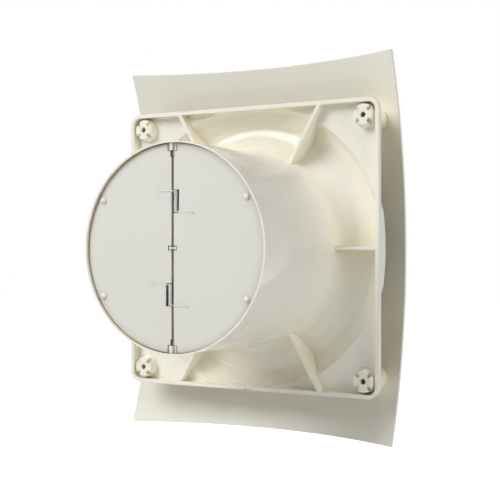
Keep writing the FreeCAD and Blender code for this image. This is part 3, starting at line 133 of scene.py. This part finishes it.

# Painted shade: how a plastic's colour is darkened where walls close in, warmly in wide hollows, to brown in
# slits and slots
WIDE_CREVICE_SHADE = {"Crevice Shade Tint": (1.0, 0.93, 0.74, 1.0), "Crevice Shade Reach": 0.03, "Crevice Shade Power": 2.0}
SLIT_CREVICE_SHADE = {"Crevice Shade Tint": (0.36, 0.25, 0.08, 1.0), "Crevice Shade Reach": 0.004, "Crevice Shade Power": 1.0}

# Kinds of group sockets
COLOUR = "NodeSocketColor"
VALUE = "NodeSocketFloat"


# Shader node groups
def new_group(name, inputs, outputs):
    """An empty group with its named sockets; returns the tree and its input and output nodes."""
    tree = bpy.data.node_groups.new(name, "ShaderNodeTree")
    for way, sockets in (("INPUT", inputs), ("OUTPUT", outputs)):
        for label, kind in sockets:
            tree.interface.new_socket(name=label, in_out=way, socket_type=kind)
    return tree, tree.nodes.new("NodeGroupInput"), tree.nodes.new("NodeGroupOutput")


def noise(tree, scale_from, detail, coordinates):
    """A noise texture on given coordinates, with its scale from a socket."""
    texture = tree.nodes.new("ShaderNodeTexNoise")
    texture.inputs["Detail"].default_value = detail
    tree.links.new(coordinates, texture.inputs["Vector"])
    tree.links.new(scale_from, texture.inputs["Scale"])
    return texture.outputs["Fac"]


def blend_colour(tree, share, first, second, blend_type="MIX"):
    """A mix of two colours by a mask."""
    mix = tree.nodes.new("ShaderNodeMix")
    mix.data_type = "RGBA"
    mix.blend_type = blend_type
    tree.links.new(share, mix.inputs["Factor"])
    tree.links.new(first, mix.inputs["A"])
    tree.links.new(second, mix.inputs["B"])
    return mix.outputs["Result"]


def spread_about(tree, mask, middle, spread):
    """A value that wanders about a middle as a mask goes from nought to one."""
    centred = tree.nodes.new("ShaderNodeMath")
    centred.operation = "SUBTRACT"
    centred.inputs[1].default_value = MASK_MIDDLE
    tree.links.new(mask, centred.inputs[0])
    scaled = tree.nodes.new("ShaderNodeMath")
    scaled.operation = "MULTIPLY_ADD"
    tree.links.new(centred.outputs["Value"], scaled.inputs[0])
    tree.links.new(spread, scaled.inputs[1])
    tree.links.new(middle, scaled.inputs[2])
    return scaled.outputs["Value"]


def paint_crevice_shade(tree, colour, tint, reach, power):
    """Paints shade: darkens a colour toward a tint where neighbouring walls close in."""
    openness = tree.nodes.new("ShaderNodeAmbientOcclusion")
    openness.samples = CREVICE_SHADE_SAMPLES
    tree.links.new(reach, openness.inputs["Distance"])
    closed = tree.nodes.new("ShaderNodeMath")
    closed.operation = "SUBTRACT"
    closed.inputs[0].default_value = FULLY_OPEN
    tree.links.new(openness.outputs["AO"], closed.inputs[1])
    deep = tree.nodes.new("ShaderNodeMath")
    deep.operation = "POWER"
    tree.links.new(closed.outputs["Value"], deep.inputs[0])
    tree.links.new(power, deep.inputs[1])
    return blend_colour(tree, deep.outputs["Value"], colour, tint, "MULTIPLY")


def moulded_surface_group():
    """Moulded plastic: faint clouds of colour and roughness, a fine skin, and painted shade that darkens the
    colour in crevices.
    """
    tree, given, result = new_group(
        "moulded_surface",
        (
            ("Colour", COLOUR),
            ("Deeper Colour", COLOUR),
            ("Cloud Scale", VALUE),
            ("Skin Scale", VALUE),
            ("Roughness", VALUE),
            ("Roughness Spread", VALUE),
            ("Crevice Shade Tint", COLOUR),
            ("Crevice Shade Reach", VALUE),
            ("Crevice Shade Power", VALUE),
        ),
        (("Colour", COLOUR), ("Roughness", VALUE), ("Height", VALUE)),
    )
    place = tree.nodes.new("ShaderNodeTexCoord").outputs["Object"]
    clouds = noise(tree, given.outputs["Cloud Scale"], CLOUD_DETAIL, place)
    skin = noise(tree, given.outputs["Skin Scale"], FINE_DETAIL, place)
    colour = blend_colour(tree, clouds, given.outputs["Colour"], given.outputs["Deeper Colour"])
    crevice_shade = [given.outputs[label] for label in ("Crevice Shade Tint", "Crevice Shade Reach", "Crevice Shade Power")]
    colour = paint_crevice_shade(tree, colour, *crevice_shade)
    roughness = spread_about(tree, clouds, given.outputs["Roughness"], given.outputs["Roughness Spread"])
    tree.links.new(colour, result.inputs["Colour"])
    tree.links.new(roughness, result.inputs["Roughness"])
    tree.links.new(skin, result.inputs["Height"])
    return tree


def drawn_metal_group():
    """Drawn or brushed metal: streaks along one axis in colour, roughness and height."""
    tree, given, result = new_group(
        "drawn_metal",
        (
            ("Colour", COLOUR),
            ("Streak Colour", COLOUR),
            ("Streak Scale", VALUE),
            ("Roughness", VALUE),
            ("Roughness Spread", VALUE),
        ),
        (("Colour", COLOUR), ("Roughness", VALUE), ("Height", VALUE)),
    )
    place = tree.nodes.new("ShaderNodeTexCoord").outputs["Object"]
    stretch = tree.nodes.new("ShaderNodeMapping")
    stretch.inputs["Scale"].default_value = STREAK_STRETCH_SHARES
    tree.links.new(place, stretch.inputs["Vector"])
    streaks = noise(tree, given.outputs["Streak Scale"], FINE_DETAIL, stretch.outputs["Vector"])
    colour = blend_colour(tree, streaks, given.outputs["Colour"], given.outputs["Streak Colour"])
    roughness = spread_about(tree, streaks, given.outputs["Roughness"], given.outputs["Roughness Spread"])
    tree.links.new(colour, result.inputs["Colour"])
    tree.links.new(roughness, result.inputs["Roughness"])
    tree.links.new(streaks, result.inputs["Height"])
    return tree


MOULDED = moulded_surface_group()
DRAWN = drawn_metal_group()


# Finishes
def surface(name, group, values, bump, edge):
    """A material fed from a surface group, with bump and softened edges; returns it and its shader."""
    material = bpy.data.materials.new(name)
    material.use_nodes = True
    tree = material.node_tree
    shader = tree.nodes["Principled BSDF"]
    finish = tree.nodes.new("ShaderNodeGroup")
    finish.node_tree = group
    for label, value in values.items():
        finish.inputs[label].default_value = value
    edges = tree.nodes.new("ShaderNodeBevel")
    edges.samples = EDGE_SAMPLES
    edges.inputs["Radius"].default_value = edge
    relief = tree.nodes.new("ShaderNodeBump")
    relief.inputs["Strength"].default_value = bump
    relief.inputs["Distance"].default_value = BUMP_DISTANCE
    tree.links.new(finish.outputs["Height"], relief.inputs["Height"])
    tree.links.new(edges.outputs["Normal"], relief.inputs["Normal"])
    tree.links.new(finish.outputs["Colour"], shader.inputs["Base Color"])
    tree.links.new(finish.outputs["Roughness"], shader.inputs["Roughness"])
    tree.links.new(relief.outputs["Normal"], shader.inputs["Normal"])
    return material, shader


def plastic(name, colour, deeper, roughness, spread, bump, edge=SMALL_EDGE,
            cloud_scale=CLOUD_SCALE, skin_scale=SKIN_SCALE, crevice_shade=WIDE_CREVICE_SHADE):
    """A moulded plastic or rubber."""
    material, shader = surface(name, MOULDED, {
        "Colour": colour,
        "Deeper Colour": deeper,
        "Cloud Scale": cloud_scale,
        "Skin Scale": skin_scale,
        "Roughness": roughness,
        "Roughness Spread": spread,
        **crevice_shade,
    }, bump, edge)
    shader.inputs["IOR"].default_value = PLASTIC_INDEX
    shader.inputs["Specular IOR Level"].default_value = PLASTIC_SHINE
    return material


def metal(name, colour, streak, roughness, spread, bump, streak_scale=STREAK_SCALE):
    """A drawn, pressed or turned metal."""
    material, shader = surface(name, DRAWN, {
        "Colour": colour,
        "Streak Colour": streak,
        "Streak Scale": streak_scale,
        "Roughness": roughness,
        "Roughness Spread": spread,
    }, bump, SMALL_EDGE)
    shader.inputs["Metallic"].default_value = FULL_METAL
    return material


def clear_dome_material():
    """Soft clear plastic with a cool cast."""
    material = plastic("clear_dome", DOME_BLUE, DOME_PALE, roughness=0.12, spread=0.06, bump=0.02)
    shader = material.node_tree.nodes["Principled BSDF"]
    shader.inputs["Transmission Weight"].default_value = DOME_CLEARNESS
    shader.inputs["IOR"].default_value = DOME_INDEX
    return material


# The finish of each material slot
FINISHES = {
    # Painted shade darkens every plastic in its hollows; the flaps and the valve ring get the brown painted
    # shade of slits
    "ivory_plastic": plastic(
        "ivory_moulding", IVORY, IVORY_DEEP, roughness=0.07, spread=0.02, bump=SMOOTH, edge=MOULDED_EDGE),
    # Painted shade: the flaps are browned at their edges and along the slit, where shade falls
    "flap_plastic": plastic(
        "flap_moulding", FLAP_WHITE, FLAP_SHADE, roughness=0.55, spread=0.05, bump=SMOOTH,
        cloud_scale=FLAP_CLOUD_SCALE, skin_scale=FLAP_SKIN_SCALE, crevice_shade=SLIT_CREVICE_SHADE),
    "steel": metal("zinc_steel", ZINC, ZINC_DARK, roughness=0.28, spread=0.2, bump=0.05),
    "spring_wire": metal(
        "spring_wire", SPRING_STEEL, SPRING_STEEL_DARK, roughness=0.42, spread=0.1, bump=SMOOTH),
    "clip_plastic": plastic("clip_moulding", FLAP_WHITE, FLAP_SHADE, roughness=0.45, spread=0.1, bump=0.05),
    "clear_rubber": clear_dome_material(),
    "bracket_plastic": plastic(
        "bracket_moulding", IVORY, IVORY_DEEP, roughness=0.42, spread=0.12, bump=0.06, edge=MOULDED_EDGE),
    "cover_metal": metal(
        "pressed_sheet", SHEET_METAL, SHEET_METAL_DARK, roughness=0.4, spread=0.2, bump=0.06),
    "lamination": metal(
        "laminations", LAMINATION, LAMINATION_DARK, roughness=0.5, spread=0.2, bump=0.2,
        streak_scale=LAMINATION_SCALE),
    "bobbin_plastic": plastic("nylon_moulding", NYLON, NYLON_DEEP, roughness=0.5, spread=0.1, bump=0.05),
    "copper_wire": metal("enamelled_copper", COPPER, COPPER_DARK, roughness=0.3, spread=0.15, bump=0.05),
    "bronze": metal(
        "sintered_bronze", BRONZE, BRONZE_DARK, roughness=0.55, spread=0.2, bump=0.15,
        streak_scale=SINTER_SCALE),
    "impeller_plastic": plastic(
        "impeller_moulding", IVORY, IVORY_DEEP, roughness=0.34, spread=0.1, bump=0.04, edge=MOULDED_EDGE),
    "terminal_plastic": plastic(
        "terminal_moulding", NYLON, NYLON_DEEP, roughness=0.5, spread=0.12, bump=0.06),
    "terminal_brass": metal("turned_brass", BRASS, BRASS_DARK, roughness=0.3, spread=0.15, bump=0.04),
    "grommet_rubber": plastic("soft_rubber", RUBBER, RUBBER_GREY, roughness=0.7, spread=0.15, bump=0.15),
    "lead_jacket": plastic("lead_sheath", SHEATH, SHEATH_GREY, roughness=0.48, spread=0.12, bump=0.06),
}

# Nodes with a finish of their own: the panel is duller than the other ivory, the ring is given brown painted
# shade where its lugs lie in the slots, and the hinge pins are painted dark brown as the shade of the slit
# they lie in
NODE_FINISHES = {
    "front_panel": plastic(
        "panel_moulding", IVORY, IVORY_DEEP, roughness=0.4, spread=0.05, bump=SMOOTH, edge=MOULDED_EDGE),
    "valve_ring": plastic(
        "ring_moulding", IVORY, IVORY_DEEP, roughness=0.07, spread=0.02, bump=SMOOTH, crevice_shade=SLIT_CREVICE_SHADE),
}
# Painted shade: the pins take the dark brown of the slit's shade
for hand in ("left", "right"):
    NODE_FINISHES["flap_pin_" + hand] = metal(
        "slit_shade_pin_" + hand, PIN_SLIT_SHADE, PIN_SLIT_SHADE_DARK, roughness=0.45, spread=0.15, bump=SMOOTH)


def dress_nodes():
    """Gives each CAD node the finish of its slot, or its own where it has one."""
    for part in frame["record"]["subparts"]:
        node = nodes[part["node"]]
        node.data.materials.clear()
        node.data.materials.append(NODE_FINISHES.get(part["node"], FINISHES[part["material_slot"]]))


# Wire work
WIRE_SIDES = 10


def solid(name, mesh):
    """A smooth-shaded object from a finished mesh."""
    data = bpy.data.meshes.new(name)
    mesh.to_mesh(data)
    mesh.free()
    for face in data.polygons:
        face.use_smooth = True
    made = bpy.data.objects.new(name, data)
    bpy.context.scene.collection.objects.link(made)
    return made


def tube(name, path, radius, sides=WIRE_SIDES):
    """A round wire along a path, closed at both ends."""
    mesh = bmesh.new()
    rings = []
    normal = None
    for number, point in enumerate(path):
        before = path[max(number - 1, 0)]
        after = path[min(number + 1, len(path) - 1)]
        along = (after - before).normalized()
        if normal is None:
            normal = along.orthogonal().normalized()
        normal = (normal - along * normal.dot(along)).normalized()
        side = along.cross(normal)
        ring = []
        for step in range(sides):
            angle = math.tau * step / sides
            spoke = normal * math.cos(angle) + side * math.sin(angle)
            ring.append(mesh.verts.new(point + spoke * radius))
        rings.append(ring)
    for first, second in zip(rings, rings[1:]):
        for step in range(sides):
            ahead = (step + 1) % sides
            mesh.faces.new((first[step], first[ahead], second[ahead], second[step]))
    mesh.faces.new(reversed(rings[0]))
    mesh.faces.new(rings[-1])
    bmesh.ops.recalc_face_normals(mesh, faces=mesh.faces)
    return solid(name, mesh)


def dress(piece, slot):
    """Gives a piece the finish of a slot."""
    piece.data.materials.append(FINISHES[slot])
    return piece


# Closing springs
SPRING_WIRE_RADIUS = 0.00014
COIL_RADIUS = 0.001
COIL_LENGTH = 0.00962
COIL_TURNS = 24
COIL_STEPS = 20
LEG_LIFT = 0.0001
LEG_STEPS = 24
BEND_STEPS = 8
FOOT_BEND = 0.0006
FOOT_LENGTH = 0.0012
FOOT_STEPS = 6


def straight(start, end, steps):
    """Points along a straight run, both ends among them."""
    return [start.lerp(end, step / steps) for step in range(steps + 1)]


def foot(tip, along, sense):
    """Points of the small bend and straight foot at a leg's end, from its tip outward."""
    corner = tip + along * FOOT_BEND
    up = Vector((0, 0, sense))
    centre = tip + up * FOOT_BEND
    bend = []
    for step in range(1, FOOT_STEPS + 1):
        angle = math.pi / 2 * step / FOOT_STEPS
        bend.append(centre + along * (FOOT_BEND * math.sin(angle)) - up * (FOOT_BEND * math.cos(angle)))
    return bend + [corner + up * FOOT_LENGTH]


def closing_spring(node, pin, own_body, sense):
    """A torsion spring: its coil on the base, one leg on its own flap, the other over to the second flap.

    The lower spring is the upper one turned half round the duct axis, which a sense of -1 stands for.
    """
    low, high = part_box(node)
    pin_low, pin_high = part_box(pin)
    axis_x = (pin_low.x + pin_high.x) / 2 * sense
    axis_y = (pin_low.y + pin_high.y) / 2
    start_z = (low.z + high.z) / 2 * sense - COIL_LENGTH / 2
    foot_room = SPRING_WIRE_RADIUS + FOOT_BEND
    own_reach = min(low.x * sense, high.x * sense) + foot_room
    other_reach = max(low.x * sense, high.x * sense) - foot_room
    leg_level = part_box("flap_bumpers_left")[0].y + SPRING_WIRE_RADIUS + LEG_LIFT

    def coil_point(turns):
        angle = math.pi / 2 - math.tau * turns
        return Vector((
            axis_x + COIL_RADIUS * math.cos(angle),
            axis_y + COIL_RADIUS * math.sin(angle),
            start_z + COIL_LENGTH * turns / COIL_TURNS,
        ))

    def turned(path):
        return [Vector((point.x * sense, point.y, point.z * sense)) for point in path]

    def wire(part, path):
        return dress(tube(node + part, turned(path), SPRING_WIRE_RADIUS), "spring_wire")

    coil = [coil_point(step / COIL_STEPS) for step in range(COIL_TURNS * COIL_STEPS + 1)]
    own_start = coil[0]
    own_tip = Vector((own_reach, leg_level, own_start.z))
    own_path = straight(own_start, own_tip, LEG_STEPS)
    own_path += foot(own_tip, (own_tip - own_start).normalized(), -1)

    # The second leg runs straight from its coil, through a point over the middle of the slit, to the second
    # flap
    other_start = coil[-1]
    other_tip = Vector((other_reach, leg_level, other_start.z))
    over_slit = other_start.lerp(other_tip, other_start.x / (other_start.x - other_tip.x))
    other_path = straight(other_start, over_slit, BEND_STEPS)[:-1] + straight(over_slit, other_tip, LEG_STEPS)
    other_path += foot(other_tip, (other_tip - other_start).normalized(), 1)

    wound = wire("_coil", coil)
    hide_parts(node)
    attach(wound, "base")
    own_leg = wire("_own_leg", own_path)
    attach(own_leg, own_body)
    other_leg = wire("_far_leg", other_path)
    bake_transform(other_leg)


# Motor windings
WINDING_LAYERS = 5
WINDING_TURNS = 9
WINDING_CORNER_STEPS = 4
WINDING_SIDES = 6
POLE_COUNT = 4
POLE_SIDE_SHARE = 0.7

# The senses of Y and Z at the four corners of a turn, in winding order
TURN_CORNERS = ((1, 1), (1, -1), (-1, -1), (-1, 1))


def winding_path(start, end, inner_across, outer_across, low, high):
    """One wire wound round a pole in layers, each a spiral of rounded rectangles, there and back by turns."""
    wire = (outer_across - inner_across) / WINDING_LAYERS
    middle = (low + high) / 2
    depth = (high - low) / 2 - (outer_across - inner_across)
    steps = len(TURN_CORNERS) * WINDING_CORNER_STEPS
    total = steps * WINDING_TURNS
    path = []
    for layer in range(WINDING_LAYERS):
        offset = wire * layer + wire / 2
        for step in range(total):
            corner, part = divmod(step % steps, WINDING_CORNER_STEPS)
            angle = math.pi / 2 * (corner + part / (WINDING_CORNER_STEPS - 1))
            sense_y, sense_z = TURN_CORNERS[corner]
            share = step / total if layer % 2 == 0 else 1 - step / total
            path.append(Vector((
                start + wire / 2 + (end - start - wire) * share,
                middle + depth * sense_y + offset * math.sin(angle),
                inner_across * sense_z + offset * math.cos(angle),
            )))
    return path, wire / 2


def stator_windings():
    """Wound coils on the four poles, each in the space of its CAD sleeve."""
    low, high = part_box("stator_coils")
    reach = high.x

    def at_pole(node):
        corners = [vertex.co for vertex in nodes[node].data.vertices]
        return [corner for corner in corners if corner.x > reach * POLE_SIDE_SHARE]

    sleeve = at_pole("stator_coils")
    start = min(corner.x for corner in sleeve)
    inner = max(corner.z for corner in at_pole("coil_bobbins"))
    outer = max(corner.z for corner in sleeve)
    path, radius = winding_path(start, reach, inner, outer, low.y, high.y)
    for number in range(POLE_COUNT):
        swing = Matrix.Rotation(math.tau * number / POLE_COUNT, 3, "Y")
        turned = [swing @ point for point in path]
        coil = dress(tube("winding_%d" % number, turned, radius, WINDING_SIDES), "copper_wire")
        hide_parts("stator_coils")
        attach(coil, "base")


# Studio; the lens and the sensor are in millimetres, the lamps' powers in watts
FOCAL_LENGTH = 72.73
SENSOR = 36.0
CLIP_START = 0.01
EYE = Vector((-0.2619, 0.4618, -0.0009))
GAZE = Vector((0.4902, -0.8716, 0.0))
FLOOR_DROP = 0.30
FLOOR_HALF = 6.0
FLOOR_CORNERS = ((-1, -1), (1, -1), (1, 1), (-1, 1))
FLOOR_FADE = {"From Min": 0.5, "From Max": 1.6, "To Min": 0.45, "To Max": 1.0}
SKY_STRENGTH = 0.03
BACKDROP_STRENGTH = 1.0
LAMP_TARGET = Vector((0.0, 0.01, 0.0))
LAMPS = {
    "key": {"spot": (0.71, 1.18, 0.96), "size": 0.9, "power": 19.0},
    "side_fill": {"spot": (-1.52, 0.4, 0.48), "size": 0.9, "power": 9.0},
    "overhead": {"spot": (0.06, 0.55, 1.56), "size": 1.0, "power": 6.2},
    "room_side": {"spot": (0.1, -1.7, 0.45), "size": 1.0, "power": 14.0},
}


def set_up(name, data, spot, direction):
    """Puts a camera or a lamp in the scene, looking along a direction."""
    made = bpy.data.objects.new(name, data)
    made.location = spot
    made.rotation_mode = "QUATERNION"
    made.rotation_quaternion = direction.to_track_quat("-Z", "Y")
    bpy.context.scene.collection.objects.link(made)
    return made


def camera():
    """A camera where the photograph's stood."""
    data = bpy.data.cameras.new("photo_camera")
    data.lens = FOCAL_LENGTH
    data.sensor_width = SENSOR
    data.clip_start = CLIP_START
    bpy.context.scene.camera = set_up("photo_camera", data, EYE, GAZE)


def softbox(name, spot, size, power):
    """A square lamp aimed at the middle of the fan."""
    data = bpy.data.lights.new(name, "AREA")
    data.size = size
    data.energy = power
    set_up(name, data, spot, LAMP_TARGET - Vector(spot))


def seen_ray(tree):
    """One for rays from the camera, a mirror or glass, and nought for light that falls on things."""
    path = tree.nodes.new("ShaderNodeLightPath")
    seen = path.outputs["Is Camera Ray"]
    for kind in ("Is Glossy Ray", "Is Transmission Ray"):
        either = tree.nodes.new("ShaderNodeMath")
        either.operation = "MAXIMUM"
        tree.links.new(seen, either.inputs[0])
        tree.links.new(path.outputs[kind], either.inputs[1])
        seen = either.outputs["Value"]
    return seen


def sky():
    """Faint white light from all round, and plain white where it is seen."""
    world = bpy.data.worlds.new("studio")
    world.use_nodes = True
    bpy.context.scene.world = world
    tree = world.node_tree
    strength = tree.nodes.new("ShaderNodeMix")
    strength.data_type = "FLOAT"
    strength.inputs["A"].default_value = SKY_STRENGTH
    strength.inputs["B"].default_value = BACKDROP_STRENGTH
    tree.links.new(seen_ray(tree), strength.inputs["Factor"])
    backdrop = tree.nodes["Background"]
    backdrop.inputs["Color"].default_value = WHITE
    tree.links.new(strength.outputs["Result"], backdrop.inputs["Strength"])


def floor():
    """A pale floor that keeps the fan's shadow and whitens with the distance from the fan."""
    mesh = bmesh.new()
    level = cad_box[0][2] - FLOOR_DROP
    mesh.faces.new([mesh.verts.new((x * FLOOR_HALF, y * FLOOR_HALF, level)) for x, y in FLOOR_CORNERS])
    ground = solid("studio_floor", mesh)
    material = plastic(
        "studio_floor", FLOOR_WHITE, FLOOR_GREY, roughness=0.8, spread=0.1, bump=0.02, edge=MOULDED_EDGE,
        cloud_scale=FLOOR_CLOUD_SCALE, skin_scale=FLOOR_SKIN_SCALE)
    tree = material.node_tree
    shader = tree.nodes["Principled BSDF"]
    shader.inputs["Emission Color"].default_value = WHITE
    away = tree.nodes.new("ShaderNodeVectorMath")
    away.operation = "LENGTH"
    tree.links.new(tree.nodes.new("ShaderNodeTexCoord").outputs["Object"], away.inputs[0])
    fade = tree.nodes.new("ShaderNodeMapRange")
    for label, value in FLOOR_FADE.items():
        fade.inputs[label].default_value = value
    tree.links.new(away.outputs["Value"], fade.inputs["Value"])
    glow = tree.nodes.new("ShaderNodeMath")
    glow.operation = "MULTIPLY"
    tree.links.new(seen_ray(tree), glow.inputs[0])
    tree.links.new(fade.outputs["Result"], glow.inputs[1])
    tree.links.new(glow.outputs["Value"], shader.inputs["Emission Strength"])
    ground.data.materials.append(material)


def studio():
    """The camera, the light and the floor round the fan."""
    camera()
    sky()
    floor()
    for name, lamp in LAMPS.items():
        softbox(name, **lamp)
    bpy.context.scene.view_settings.view_transform = "Standard"


dress_nodes()
closing_spring("flap_spring_upper", "flap_pin_left", "left_flap", 1)
closing_spring("flap_spring_lower", "flap_pin_right", "right_flap", -1)
stator_windings()
studio()
